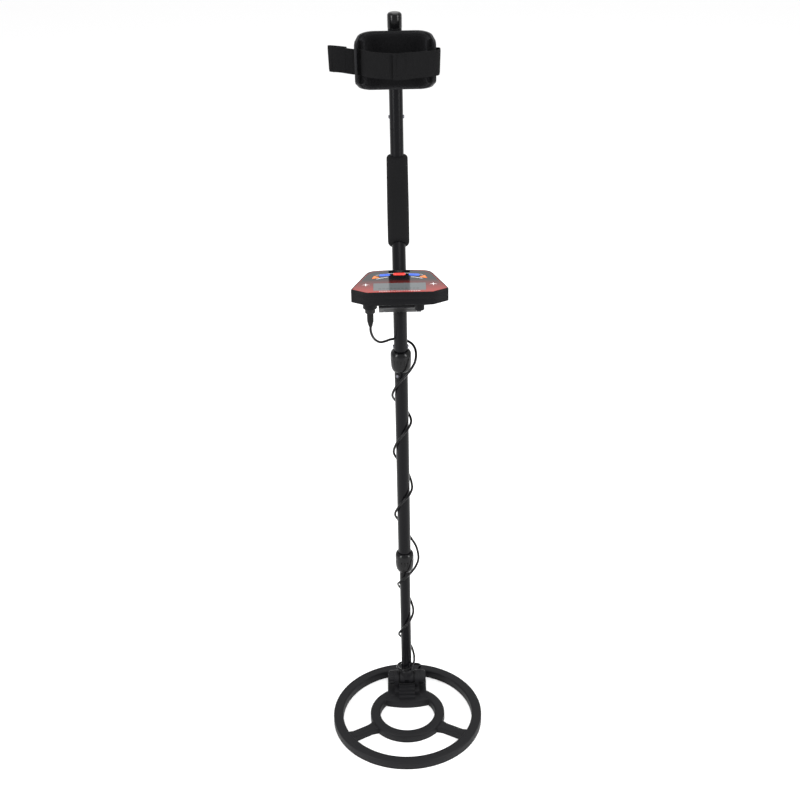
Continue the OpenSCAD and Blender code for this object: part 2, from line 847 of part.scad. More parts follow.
module box_cover() color([0.08, 0.08, 0.09]) {
    difference() {
        translate([0, 0, split_z])
            linear_extrude(panel_z - split_z)
                box_plan(0);
        difference() {
            translate([0, 0, split_z - 1])
                linear_extrude(7.5)
                    box_plan(box_wall);
            for (p = screw_at)
                translate([p[0], p[1], split_z - 2])
                    cylinder(r = post_r, h = 20);
        }
        translate([0, 0, panel_z - 0.8])
            linear_extrude(2)
                box_plan(1.6);
        translate([-lcd_x, lcd_y[0], split_z])
            cube([2 * lcd_x, lcd_y[1] - lcd_y[0], 20]);
        key_holes(0.3);
        for (p = screw_at)
            translate([p[0], p[1], split_z - 1])
                cylinder(r = screw_r, h = 6);
        lower_bend(tube_r + 0.5, 4);
    }
}

module box_screws() color([0.5, 0.5, 0.52]) {
    for (p = screw_at)
        translate([p[0], p[1], 702.4]) {
            cylinder(r = screw_head_r, h = 1.6);
            cylinder(r = screw_r - 0.05, h = 16);
        }
}

module tube_clamp() color([0.09, 0.09, 0.1]) {
    difference() {
        translate([-clamp_x, 1, boss_z])
            cube([2 * clamp_x, 18, 15]);
        lower_bend(tube_r + 0.1, 12);
        for (x = [-14, 14])
            translate([x, -8, boss_z + 7])
                rotate([-90, 0, 0]) {
                    cylinder(r = 1.55, h = 30);
                    translate([0, 0, 23])
                        cylinder(r = 3.1, h = 10);
                }
    }
}
module clamp_screws() color([0.5, 0.5, 0.52]) {
    for (x = [-14, 14])
        translate([x, -7, boss_z + 7])
            rotate([-90, 0, 0]) {
                cylinder(r = 1.45, h = 23.5);
                translate([0, 0, 22.2])
                    cylinder(r = 3, h = 2.2);
            }
}

module battery() color([0.35, 0.33, 0.2]) {
    translate([-22.5, -34.5, 691.3])
        cube([45, 26, 16.5]);
    for (y = [-27.5, -15.5])
        translate([22.5, y, 699.5])
            rotate([0, 90, 0])
                cylinder(r = 3, h = 2.5);
}
module battery_door() color([0.09, 0.09, 0.1]) {
    front_y = -36;
    slope = (695.5 - boss_z) / 28;
    z0 = boss_z + (-18 - front_y) * slope;
    translate([-door_x, 0, 0])
        rotate([90, 0, 90])
            linear_extrude(2 * door_x)
                polygon([
                    [front_y, z0], [-18, boss_z], [-12.4, boss_z], [-12.4, boss_z + 2.2],
                    [-17, boss_z + 2.2], [front_y, z0 + 2.6]
                ]);
}

module circuit_board() color([0.1, 0.35, 0.15]) {
    difference() {
        translate([-40, -56, board_z])
            cube([80, 59, 1.6]);
        for (p = screw_at)
            translate([p[0], p[1], board_z - 2])
                cylinder(r = 4.7, h = 6);
    }
    for (at = [[-26, -48, 12, 12, 2.4], [6, -46, 16, 10, 2], [-8, -22, 8, 8, 2], [20, -20, 6, 10, 3]])
        translate([at[0], at[1], board_z + 1.6])
            cube([at[2], at[3], at[4]]);
    for (at = key_places)
        translate([at[0] - 3, at[1] - 3, board_z + 1.6])
            cube([6, 6, panel_z - 5.6 - board_z - 1.6]);
}
module lcd_module() color([0.2, 0.22, 0.2])
    translate([-lcd_x - 1.5, lcd_y[0] - 1, split_z])
        cube([2 * lcd_x + 3, lcd_y[1] - lcd_y[0] + 2, 6]);
module lcd_window() color([0.5, 0.52, 0.5])
    translate([-lcd_x + 0.1, lcd_y[0] + 0.1, split_z + 6.1])
        cube([2 * lcd_x - 0.2, lcd_y[1] - lcd_y[0] - 0.2, panel_z - split_z - 6.15]);

module panel_overlay() color([0.55, 0.1, 0.08]) {
    difference() {
        translate([0, 0, panel_z - 0.8])
            linear_extrude(0.8)
                box_plan(1.75);
        translate([-lcd_x, lcd_y[0], panel_z - 2])
            cube([2 * lcd_x, lcd_y[1] - lcd_y[0], 4]);
        key_holes(0.3);
    }
}

// ---- panel keys: a curved row along the back of the panel ----

key_places = [[0, -0.5], [-20, -3], [20, -3], [-33, -10], [33, -10]];
module oblong(l, w) {
    square([l - w, w], center = true);
    for (x = [-1, 1])
        translate([x * (l - w) / 2, 0])
            circle(w / 2);
}
module power_key_plan(grow) oblong(17 + 2 * grow, 7 + 2 * grow);
module mode_key_plan(grow) oblong(15 + 2 * grow, 6.5 + 2 * grow);
module adjust_key_plan(grow) {
    a = 5.2 + 2 * grow;
    polygon([[-a, -a * 0.6], [a, -a * 0.6], [0, a * 0.8]]);
}
module at_key(i) {
    translate([key_places[i][0], key_places[i][1]])
        rotate(-sign(key_places[i][0]) * (abs(key_places[i][0]) > 30 ? 2 : 1) * key_turn / 2)
            children();
}
module key_cap(shape_z) {
    translate([0, 0, panel_z - 4.5])
        linear_extrude(4.5 + key_rise)
            children();
}
module key_holes(grow) {
    translate([0, 0, split_z])
        linear_extrude(20) {
            at_key(0) power_key_plan(grow);
            for (i = [1, 2])
                at_key(i) mode_key_plan(grow);
            for (i = [3, 4])
                at_key(i) adjust_key_plan(grow);
        }
}
module power_key() color([0.8, 0.15, 0.12]) key_cap() at_key(0) power_key_plan(0);
module mode_key_left() color([0.15, 0.3, 0.7]) key_cap() at_key(1) mode_key_plan(0);
module mode_key_right() color([0.15, 0.3, 0.7]) key_cap() at_key(2) mode_key_plan(0);
module adjust_key_left() color([0.85, 0.4, 0.15]) key_cap() at_key(3) adjust_key_plan(0);
module adjust_key_right() color([0.85, 0.4, 0.15]) key_cap() at_key(4) adjust_key_plan(0);

// ---- sound and cable fittings ----

module loudspeaker() color([0.2, 0.2, 0.2]) {
    translate([-34, -14, 701]) {
        cylinder(r = 6, h = 2);
        translate([0, 0, 2])
            cylinder(r = 9, h = 2.5);
    }
}
module headphone_jack() color([0.05, 0.05, 0.05]) {
    translate([jack_at[0], jack_at[1], jack_z])
        difference() {
            cylinder(r = jack_r, h = board_z - jack_z);
            translate([0, 0, -1])
                cylinder(r = jack_bore_r, h = jack_depth + 1);
        }
}
module cable_socket() color([0.5, 0.5, 0.52]) {
    translate([socket_at[0], socket_at[1], 0])
        difference() {
            union() {
                rod(6, 700, 707);
                rod(5.4, 691.5, 700);
            }
            rod(4.5, 690, 703);
        }
}
module plug_nut() color([0.1, 0.1, 0.1]) {
    ribs = 16;
    translate([socket_at[0], socket_at[1], 0])
        difference() {
            rod(6.9, 690, 699.7);
            rod(5.4 + running, 691.4, 701);
            rod(4.4 + running, 689, 692);
            for (i = [0 : ribs - 1])
                rotate(360 * i / ribs)
                    translate([7.3, 0, 689])
                        cylinder(r = 0.8, h = 9, $fn = 16);
        }
}
module plug_body() color([0.07, 0.07, 0.07]) {
    translate([socket_at[0], socket_at[1], 0]) {
        rod(4.4, 677, 702);
        translate([0, 0, 669])
            cylinder(r1 = 2.3, r2 = 4.4, h = 8);
    }
}

// ---- coil cable ----

module cable_upper() color([0.06, 0.06, 0.06]) cord(upper_route, cable_d);
module cable_lower() color([0.06, 0.06, 0.06]) cord(lower_route, cable_d);
module cable_tail() color([0.06, 0.06, 0.06]) cord(tail_route, cable_d);

coil_housing();
coil_base();
transmit_winding();
receive_winding();
hinge_bolt();
hinge_knob();
hinge_washers();
cable_gland();
shaft_foot();
foot_pin();
lower_tube();
guide_bush();
lower_collet();
lower_lock_nut();
middle_tube();
joint_sleeve();
joint_button();
upper_collet();
upper_lock_nut();
handle_tube();
handle_button_left();
handle_button_right();
foam_grip();
arm_sleeve();
arm_button_left();
arm_button_right();
arm_tube();
end_cap();
button_springs();
arm_cup();
cup_bolts();
cup_nuts();
arm_pad();
strap_right();
strap_left();
box_base();
box_cover();
box_screws();
tube_clamp();
clamp_screws();
battery();
battery_door();
circuit_board();
lcd_module();
lcd_window();
panel_overlay();
power_key();
mode_key_left();
mode_key_right();
adjust_key_left();
adjust_key_right();
loudspeaker();
headphone_jack();
cable_socket();
plug_nut();
plug_body();
cable_upper();
cable_lower();
cable_tail();
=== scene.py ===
# %% The CAD model as a fixed frame
import json
import math

import bmesh
import bpy
from mathutils import Matrix, Vector, noise

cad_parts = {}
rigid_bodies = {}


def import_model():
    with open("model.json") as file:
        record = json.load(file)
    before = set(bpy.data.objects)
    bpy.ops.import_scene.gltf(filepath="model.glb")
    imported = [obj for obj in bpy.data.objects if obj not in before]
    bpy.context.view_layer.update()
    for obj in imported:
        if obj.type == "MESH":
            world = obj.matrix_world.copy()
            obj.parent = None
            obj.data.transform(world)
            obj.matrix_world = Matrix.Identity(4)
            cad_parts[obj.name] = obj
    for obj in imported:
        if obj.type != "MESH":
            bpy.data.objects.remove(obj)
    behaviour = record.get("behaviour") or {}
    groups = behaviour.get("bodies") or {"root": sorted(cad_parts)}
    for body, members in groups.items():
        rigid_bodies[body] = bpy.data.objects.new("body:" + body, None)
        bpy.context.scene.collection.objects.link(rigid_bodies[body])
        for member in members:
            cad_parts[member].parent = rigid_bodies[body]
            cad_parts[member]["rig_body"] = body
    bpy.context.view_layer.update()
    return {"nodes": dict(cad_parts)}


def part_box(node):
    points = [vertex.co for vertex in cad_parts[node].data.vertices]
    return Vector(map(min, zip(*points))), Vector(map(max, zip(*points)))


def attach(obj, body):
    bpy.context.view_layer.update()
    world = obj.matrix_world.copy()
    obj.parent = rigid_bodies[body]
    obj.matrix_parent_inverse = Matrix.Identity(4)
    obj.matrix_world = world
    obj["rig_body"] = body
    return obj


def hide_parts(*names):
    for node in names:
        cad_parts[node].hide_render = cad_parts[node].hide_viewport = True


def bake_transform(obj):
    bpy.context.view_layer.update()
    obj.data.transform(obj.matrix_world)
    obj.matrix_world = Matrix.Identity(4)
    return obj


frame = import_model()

nodes = frame["nodes"]
MM = 0.001

# %% [markdown]
# ## The camera
# A metal detector is tall and thin, so it is seen whole from the front and a little from above,
# with a long lens that keeps its shaft straight. A camera could be aimed with a constraint. Here
# its three axes are written straight into its matrix, because the view also leans by one degree.

# %% Camera
PITCH = math.radians(28.3)
LEAN = math.radians(1.1)
CAMERA_PLACE = (-0.0024, -1.6889, 1.4403)
LENS_MM, SENSOR_MM = 60.75, 36.0
camera_data = bpy.data.cameras.new("camera")
camera_data.lens = LENS_MM
camera_data.sensor_width = SENSOR_MM
camera = bpy.data.objects.new("camera", camera_data)
bpy.context.scene.collection.objects.link(camera)
look_down = Matrix.Rotation(math.pi / 2 - PITCH, 4, "X")
sideways = Matrix.Rotation(-LEAN, 4, "Z")
camera.matrix_world = Matrix.Translation(CAMERA_PLACE) @ look_down @ sideways
bpy.context.scene.camera = camera
print("camera at", [round(c, 4) for c in camera.location])


# %% [markdown]
# ## Making a mesh object
# Every piece here ends as a plain mesh whose object sits at the origin. One small function makes
# the mesh from points and faces, turns its faces outwards, and sets how sharp an edge must be
# before it is drawn as an edge.

# %% Mesh helper
def smooth_by_angle(mesh, degrees):
    """Shades a mesh smooth, apart from edges sharper than this angle."""
    mesh.shade_smooth()
    mesh.set_sharp_from_angle(angle=math.radians(degrees))


def new_mesh(name, points, faces, sharp=35):
    """A mesh object from points in metres, with its faces turned outwards."""
    mesh = bpy.data.meshes.new(name)
    mesh.from_pydata([tuple(p) for p in points], [], faces)
    work = bmesh.new()
    work.from_mesh(mesh)
    bmesh.ops.remove_doubles(work, verts=work.verts, dist=1e-6)
    bmesh.ops.recalc_face_normals(work, faces=work.faces)
    work.to_mesh(mesh)
    work.free()
    smooth_by_angle(mesh, sharp)
    piece = bpy.data.objects.new(name, mesh)
    bpy.context.scene.collection.objects.link(piece)
    return piece


# %% [markdown]
# ## The coil cable
# The cable is a 3.6 mm PVC lead, wound down round the shaft so that it can't snag. It could be a
# curve with a bevel; here it is a mesh, a ring of points carried along a smooth line through the
# route. The route is the same as in the CAD: it leaves the plug, winds down the shaft past both
# lock nuts, makes a tight loop above the hinge and drops into the gland on the coil.

# %% Cable routes, in millimetres
CABLE_D = 3.6 * MM
CABLE_STEP = 1.6 * MM
UPPER_ROUTE = [
    (-40, -47, 669), (-40, -46, 662), (-38, -41, 652), (-34, -31, 641), (-28, -19, 632),
    (-21, -6, 627), (-13, 6, 624), (-3, 13, 621), (8, 14, 618), (17, 10, 613), (21, 2, 606),
    (20, -8, 597), (15, -14, 589), (8, -16, 580), (-1, -14, 568), (-9, -10, 555), (-13, -1, 540),
    (-10, 9, 527), (0, 13, 515), (9, 9, 505), (13, 0, 497), (9, -9, 490), (0, -13, 480),
    (-9, -9, 464), (-13, 0, 446), (-9, 9, 430), (0, 13, 415), (9, 9, 400), (13, 0, 386),
    (9, -9, 378), (0, -13, 369), (-9, -9, 354), (-13, 0, 338), (-9, 9, 323), (0, 13, 305),
    (10, 11, 288), (18, 6, 275), (21, -4, 262), (17, -11, 252), (9, -15, 242), (0, -13, 231),
    (-8, -8, 220), (-11, 0, 211), (-8, 8, 199), (0, 11, 187), (8, 8, 174), (12, 0, 160),
    (8, -8, 150), (0, -12, 140), (-8, -8, 127), (-11, 0, 115), (-8, 8, 104), (0, 11, 93),
    (8, 9, 83), (12, 3, 71), (12, 0, 67)
]
LOWER_ROUTE = [
    (12, 0, 67), (12, -3, 63), (8, -10, 58), (0, -13, 54), (-8, -11, 52), (-14, -3, 50),
    (-12, 8, 49), (-4, 13, 48), (4, 13, 46), (10, 12, 45), (14, 12, 45), (17, 12, 45), (20, 14, 42),
    (22, 18, 37), (22, 23, 31), (20.5, 26, 26), (20, 26, 22.8),
]


def smooth_line(points, step):
    """A line through every point, rounded between them, with a point about every step."""
    line = []
    ends = [points[0] * 2 - points[1]] + points + [points[-1] * 2 - points[-2]]
    for a, b, c, d in zip(ends, ends[1:], ends[2:], ends[3:]):
        count = max(2, round((c - b).length / step))
        for i in range(count):
            t = i / count
            bend = 2 * a - 5 * b + 4 * c - d + t * (3 * (b - c) + d - a)
            line.append(b + 0.5 * t * ((c - a) + t * bend))
    return line + [points[-1]]


def line_length(line):
    return sum((b - a).length for a, b in zip(line, line[1:]))


def tube_along(name, line, radii, sides=12):
    """A closed tube along a line. radii holds one radius for each of its points."""
    points, faces = [], []
    normal = Vector((0, 0.3, 1))
    for i, p in enumerate(line):
        tangent = (line[min(i + 1, len(line) - 1)] - line[max(i - 1, 0)]).normalized()
        normal = (normal - normal.dot(tangent) * tangent).normalized()
        across = tangent.cross(normal)
        for k in range(sides):
            turn = 2 * math.pi * k / sides
            points.append(p + radii[i] * (math.cos(turn) * normal + math.sin(turn) * across))
    for i in range(len(line) - 1):
        for k in range(sides):
            a, b = i * sides + k, i * sides + (k + 1) % sides
            faces.append((a, b, b + sides, a + sides))
    faces.append(tuple(range(sides)))
    faces.append(tuple(range((len(line) - 1) * sides, len(line) * sides)))
    return new_mesh(name, points, faces)


def cable(name, route):
    line = smooth_line([Vector(p) * MM for p in route], CABLE_STEP)
    piece = tube_along(name, line, [CABLE_D / 2] * len(line))
    print(name, "is", round(line_length(line), 3), "m long")
    return piece, line


upper_cable, upper_line = cable("coil_cable_upper", UPPER_ROUTE)
lower_cable, lower_line = cable("coil_cable_lower", LOWER_ROUTE)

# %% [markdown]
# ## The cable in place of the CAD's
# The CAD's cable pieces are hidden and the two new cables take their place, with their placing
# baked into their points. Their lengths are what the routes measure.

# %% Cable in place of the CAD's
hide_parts("cable_upper")
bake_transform(upper_cable)
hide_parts("cable_lower", "cable_tail")
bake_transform(lower_cable)


# %% [markdown]
# ## Colours and shader nodes
# Colours are written as sRGB hex, as a paint or plastic supplier would give them, and one
# function turns them to the linear values that a shader needs. One more function adds a node
# with its settings and its links, so that each material below reads as a short recipe.

# %% Material helpers
def hex_color(code):
    """#rrggbb in sRGB to a linear RGBA colour."""
    parts = [int(code[i:i + 2], 16) / 255 for i in (1, 3, 5)]
    return [c / 12.92 if c <= 0.04045 else ((c + 0.055) / 1.055) ** 2.4 for c in parts] + [1.0]


def add(tree, kind, links=None, **settings):
    """Adds a shader node. settings are its properties or its sockets' values, by plain name."""
    node = tree.nodes.new(kind)
    for key, value in settings.items():
        if hasattr(node, key):
            setattr(node, key, value)
        else:
            node.inputs[key.replace("_", " ").title()].default_value = value
    for socket, source in (links or {}).items():
        tree.links.new(source, node.inputs[socket])
    return node


def start_material(name, color, roughness, metallic=0.0, ior=None, specular=0.5):
    """A material with its Principled shader: returns the material, its tree and the shader.

    specular is how strongly the surface reflects, and 0.5 is a polished plastic. The black
    finishes are set well below that, so that they look dark enough under the lamps.
    """
    material = bpy.data.materials.new(name)
    material.use_nodes = True
    tree = material.node_tree
    shader = tree.nodes["Principled BSDF"]
    shader.inputs["Base Color"].default_value = hex_color(color)
    shader.inputs["Roughness"].default_value = roughness
    shader.inputs["Metallic"].default_value = metallic
    shader.inputs["Specular IOR Level"].default_value = specular
    if ior is not None:
        shader.inputs["IOR"].default_value = ior
    return material, tree, shader


def grain(tree, shader, size_mm, depth_mm, detail=2.0, stretch=(1, 1, 1)):
    """A bump of fine grain of this size, in object coordinates."""
    place = add(tree, "ShaderNodeTexCoord")
    scaled = add(tree, "ShaderNodeMapping", {"Vector": place.outputs["Object"]})
    scaled.inputs["Scale"].default_value = stretch
    texture = add(tree, "ShaderNodeTexNoise", {"Vector": scaled.outputs["Vector"]})
    texture.inputs["Scale"].default_value = 1 / (size_mm * MM)
    texture.inputs["Detail"].default_value = detail
    bump = add(tree, "ShaderNodeBump", {"Height": texture.outputs["Fac"]})
    bump.inputs["Distance"].default_value = depth_mm * MM
    bump.inputs["Strength"].default_value = 1.0
    tree.links.new(bump.outputs["Normal"], shader.inputs["Normal"])


# %% [markdown]
# ## Plastics
# The coil, hinge, arm cup and box are moulded ABS with a spark-eroded grain that makes them matt.
# The lock nuts and the end cap are smoother nylon with a clear highlight. The grain on the ABS is
# drawn about 1 mm across, coarser than a real one, so that it shows.

# %% ABS and nylon
abs_black, tree, shader = start_material("moulded_abs_matt", "#0d0d0f", 0.55, ior=1.53, specular=0.13)
grain(tree, shader, 0.9, 0.05)
abs_satin, tree, shader = start_material("moulded_abs_satin", "#08080a", 0.5, ior=1.53, specular=0.07)
grain(tree, shader, 1.1, 0.02)
nylon_gloss, tree, shader = start_material("moulded_nylon_semi_gloss", "#080809", 0.19, ior=1.53,
                                           specular=0.15)
grain(tree, shader, 2.0, 0.006)
inner_nylon = start_material("natural_nylon", "#3a3a3a", 0.5, ior=1.53)[0]
rubber = start_material("moulded_rubber", "#0a0a0a", 0.7, ior=1.52, specular=0.12)[0]
pvc = start_material("cable_pvc", "#070708", 0.2, ior=1.53, specular=0.13)[0]

# %% [markdown]
# ## Tube, steel and copper
# The shaft is drawn aluminium, anodised black: a thin hard skin with a satin metal glow and very
# faint lines along the tube from the drawing die. The snap buttons are spring steel, drawn darker
# than bare steel; that darkness is a guess and keeps them from glaring. The screws are zinc
# plated, and the windings are enamelled copper wire.

# %% Metals
tube_black, tree, shader = start_material("black_anodised_aluminium", "#09090b", 0.26, metallic=0.2,
                                          specular=0.11)
grain(tree, shader, 0.5, 0.012, stretch=(1, 1, 0.03))
# The buttons' steel colour is darkened below bare steel, which keeps them from glaring.
steel_button = start_material("darkened_spring_steel", "#5c5c62", 0.3, metallic=1.0)[0]
zinc = start_material("zinc_plated_steel", "#9a9a9e", 0.34, metallic=1.0)[0]
copper = start_material("enamelled_copper", "#a8552c", 0.3, metallic=1.0)[0]

# %% [markdown]
# ## Foam, loop pile and webbing
# The grip is closed-cell rubber foam: black, dry and slightly pitted. The pad's face is brushed
# loop pile, which catches light at grazing angles, so it has sheen as well as a coarse bump. The
# strap is ribbed polyester webbing: its ribs follow the strap, so they read the strap's own UV
# map.

# %% Soft materials
RIB_PITCH = 1.6 * MM
foam, tree, shader = start_material("closed_cell_foam", "#0c0c0d", 0.88, ior=1.45, specular=0.12)
grain(tree, shader, 1.4, 0.25, detail=4.0)
pile, tree, shader = start_material("brushed_loop_pile", "#080809", 0.95, ior=1.45, specular=0.1)
shader.inputs["Sheen Weight"].default_value = 0.12
shader.inputs["Sheen Roughness"].default_value = 0.5
shader.inputs["Sheen Tint"].default_value = hex_color("#8a8a90")
grain(tree, shader, 1.3, 0.7, detail=5.0)
webbing, tree, shader = start_material("ribbed_webbing", "#070708", 0.8, ior=1.5, specular=0.1)
shader.inputs["Sheen Weight"].default_value = 0.06
shader.inputs["Sheen Tint"].default_value = hex_color("#77777c")
along = add(tree, "ShaderNodeUVMap", uv_map="strap")
rib = add(tree, "ShaderNodeTexWave", {"Vector": along.outputs["UV"]}, bands_direction="X")
rib.inputs["Scale"].default_value = math.pi / 10 / RIB_PITCH
rib.inputs["Distortion"].default_value = 0.4
rib_bump = add(tree, "ShaderNodeBump", {"Height": rib.outputs["Fac"]})
rib_bump.inputs["Distance"].default_value = 0.35 * MM
tree.links.new(rib_bump.outputs["Normal"], shader.inputs["Normal"])

# %% [markdown]
# ## The control panel's film and the display
# The panel is a printed polycarbonate film with a high gloss. Its print fades from red at the
# front to black towards the back, which a colour ramp along the object's own Y axis gives.

# %% Panel film, prints and display
film_low, film_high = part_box("panel_overlay")
film, tree, shader = start_material("printed_gloss_film", "#7a1a14", 0.07, ior=1.58)
place = add(tree, "ShaderNodeTexCoord")
axes = add(tree, "ShaderNodeSeparateXYZ", {"Vector": place.outputs["Object"]})
span = add(tree, "ShaderNodeMapRange", {"Value": axes.outputs["Y"]})
span.inputs["From Min"].default_value = film_low[1]
span.inputs["From Max"].default_value = film_high[1]
fade = add(tree, "ShaderNodeValToRGB", {"Fac": span.outputs["Result"]})
fade.color_ramp.elements[0].position = 0.02
fade.color_ramp.elements[0].color = hex_color("#8c241c")
fade.color_ramp.elements[1].position = 0.58
fade.color_ramp.elements[1].color = hex_color("#101012")
tree.links.new(fade.outputs["Color"], shader.inputs["Base Color"])

print_white = start_material("white_screen_print", "#e9e9ea", 0.4)[0]
print_red = start_material("red_screen_print", "#8c1c17", 0.3)[0]
lcd_grey = start_material("grey_liquid_crystal", "#54585a", 0.06, ior=1.58)[0]
lcd_ink = start_material("liquid_crystal_segments", "#484c4d", 0.1, ior=1.58)[0]
key_red = start_material("red_silicone_key", "#d2342c", 0.4, ior=1.43)[0]
key_blue = start_material("blue_silicone_key", "#3d5fc4", 0.4, ior=1.43)[0]
key_orange = start_material("orange_silicone_key", "#e2793c", 0.4, ior=1.43)[0]
board = start_material("green_solder_mask", "#1c5a2c", 0.35, ior=1.5)[0]
foil = start_material("printed_battery_foil", "#50504a", 0.3, metallic=0.8)[0]
print("materials:", len(bpy.data.materials))


# %% [markdown]
# ## Finishing the CAD pieces
# A CAD solid has knife-sharp edges. A moulded or machined part never has: a fraction of a
# millimetre is always rounded, and that is where an edge catches the light. Most CAD pieces that
# show are copied, their loose triangles are joined, flat neighbours are merged, and a small bevel
# is cut. The copy rides on the same body and stands for the CAD piece. The tubes, the film, the
# display and what lies inside stay as they are and only get a material.

# %% Bevelled copies
FLAT_ANGLE = math.radians(0.6)
BEVEL_ANGLE, BEVEL_SEGMENTS = math.radians(32), 2


def finished(name, material, bevel_mm):
    """A clean copy of a CAD piece, with its edges rounded, in one material."""
    node = nodes[name]
    mesh = node.data.copy()
    mesh.name = name + "_finished"
    work = bmesh.new()
    work.from_mesh(mesh)
    bmesh.ops.remove_doubles(work, verts=work.verts, dist=2e-6)
    bmesh.ops.dissolve_limit(work, angle_limit=FLAT_ANGLE, verts=work.verts, edges=work.edges)
    work.to_mesh(mesh)
    work.free()
    mesh.materials.clear()
    mesh.materials.append(material)
    piece = bpy.data.objects.new(name + "_finished", mesh)
    bpy.context.scene.collection.objects.link(piece)
    cut = piece.modifiers.new("rounded edges", "BEVEL")
    cut.width = bevel_mm * MM
    cut.segments = BEVEL_SEGMENTS
    cut.limit_method = "ANGLE"
    cut.angle_limit = BEVEL_ANGLE
    apply_modifiers(piece)
    smooth_by_angle(piece.data, 38)
    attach(piece, node["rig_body"])
    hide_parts(name)
    return piece


def apply_modifiers(piece):
    """Turns what the modifiers make into the piece's own plain mesh."""
    bpy.context.view_layer.update()
    ready = piece.evaluated_get(bpy.context.evaluated_depsgraph_get())
    mesh = bpy.data.meshes.new_from_object(ready)
    piece.modifiers.clear()
    old = piece.data
    piece.data = mesh
    bpy.data.meshes.remove(old)


def paint(material, *names):
    """Gives CAD pieces that stay as they are their material."""
    for name in names:
        node = nodes[name]
        node.data.materials.clear()
        node.data.materials.append(material)


for name, material, bevel in [
    ("coil_housing", abs_black, 0.5), ("hinge_bolt", abs_black, 0.5), ("hinge_knob", abs_black, 0.4),
    ("shaft_foot", abs_black, 0.5), ("cable_gland", rubber, 0.3), ("lower_lock_nut", nylon_gloss, 0.3),
    ("upper_lock_nut", nylon_gloss, 0.3), ("end_cap", nylon_gloss, 0.3), ("box_base", abs_satin, 0.6),
    ("box_cover", abs_satin, 0.5), ("tube_clamp", abs_satin, 0.5), ("battery_door", abs_satin, 0.4),
    ("power_key", key_red, 0.4), ("mode_key_left", key_blue, 0.4), ("mode_key_right", key_blue, 0.4),
    ("adjust_key_left", key_orange, 0.4), ("adjust_key_right", key_orange, 0.4),
    ("plug_nut", nylon_gloss, 0.3), ("plug_body", rubber, 0.3), ("arm_cup", abs_black, 0.6),
    ("joint_button", steel_button, 0.3), ("handle_button_left", steel_button, 0.3),
    ("handle_button_right", steel_button, 0.3), ("arm_button_left", steel_button, 0.3),
    ("arm_button_right", steel_button, 0.3), ("cup_nuts", abs_black, 0.3),
]:
    piece = finished(name, material, bevel)
    print(name, "has", len(piece.data.polygons), "faces")

paint(tube_black, "lower_tube", "middle_tube", "handle_tube", "arm_tube")
paint(abs_black, "coil_base", "headphone_jack")
paint(copper, "transmit_winding", "receive_winding")
paint(inner_nylon, "lower_collet", "upper_collet", "joint_sleeve", "arm_sleeve", "guide_bush")
paint(rubber, "hinge_washers", "loudspeaker")
paint(zinc, "foot_pin", "button_springs", "cup_bolts", "box_screws", "clamp_screws", "cable_socket")
paint(board, "circuit_board")
paint(foil, "battery")
paint(inner_nylon, "lcd_module")
paint(lcd_grey, "lcd_window")
paint(film, "panel_overlay")
upper_cable.data.materials.append(pvc)
lower_cable.data.materials.append(pvc)


# %% [markdown]
# ## The foam grip
# A foam grip is a thick tube of soft rubber foam, pushed over the handle with soapy water. It
# bends with the tube, swells a little in its middle and has rounded ends. It could be the CAD
# tube with a bevel, but the slow swell needs a radius that changes, so the cable's tube function
# is used again along the handle's own bent line.

# %% Foam grip
BEND_Z, BEND_R, SLOPE = 666 * MM, 55 * MM, 129 * MM
BEND_ANGLE = math.radians(50)
GRIP_START, GRIP_END = 54 * MM, 13 * MM
GRIP_R, GRIP_RIM, GRIP_SWELL_MM = 14.9 * MM, 4.5 * MM, 0.35
LINE_STEPS, END_STEPS = 24, 5


def handle_line():
    """The middle of the handle tube under the grip, from its lower end to its upper end."""
    ahead = Vector((0, math.sin(BEND_ANGLE), math.cos(BEND_ANGLE)))
    low = Vector((0, BEND_R * (1 - math.cos(BEND_ANGLE)), BEND_Z + BEND_R * math.sin(BEND_ANGLE)))
    top = low + ahead * SLOPE
    middle = top + BEND_R * Vector((0, -math.cos(BEND_ANGLE), math.sin(BEND_ANGLE)))
    line = [low + ahead * (GRIP_START + i / LINE_STEPS * (SLOPE - GRIP_START)) for i in range(LINE_STEPS)]
    for i in range(LINE_STEPS + 1):
        turn = BEND_ANGLE * (1 - i / LINE_STEPS)
        line.append(middle + BEND_R * Vector((0, math.cos(turn), -math.sin(turn))))
    line += [line[-1] + Vector((0, 0, GRIP_END)) * i / END_STEPS for i in range(1, END_STEPS + 1)]
    return line


def grip_radius(share, half):
    """The grip's radius at a share of its length: rounded ends and a slight swell."""
    from_end = min(share, 1 - share) * half * 2
    swell = GRIP_SWELL_MM * MM * math.sin(math.pi * share)
    drop = GRIP_RIM - math.sqrt(max(0.0, GRIP_RIM ** 2 - max(0.0, GRIP_RIM - from_end) ** 2))
    return GRIP_R + swell - drop


grip_line = smooth_line(handle_line(), 1.2 * MM)
grip_length = line_length(grip_line)
walked, grip_radii = 0.0, []
for i, p in enumerate(grip_line):
    walked += (p - grip_line[i - 1]).length if i else 0.0
    grip_radii.append(grip_radius(walked / grip_length, grip_length / 2))
grip = tube_along("foam_grip_body", grip_line, grip_radii, sides=48)
grip.data.materials.append(foam)
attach(grip, "handle")
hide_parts("foam_grip")
print("grip is", round(grip_length / MM), "mm long")


# %% [markdown]
# ## The arm pad
# The cup is lined with a foam pad whose face is brushed loop pile. It is cut flat and pressed into
# the cup, so its back follows the cup and its face is crowned: thick in the middle and drawn down
# at its edges. It is built as a grid in two directions, round the cup and up it, and its face is
# roughened with noise so that the outline is fuzzy too. The cup's lower edge climbs towards the
# front, and the pad's edge climbs with it.

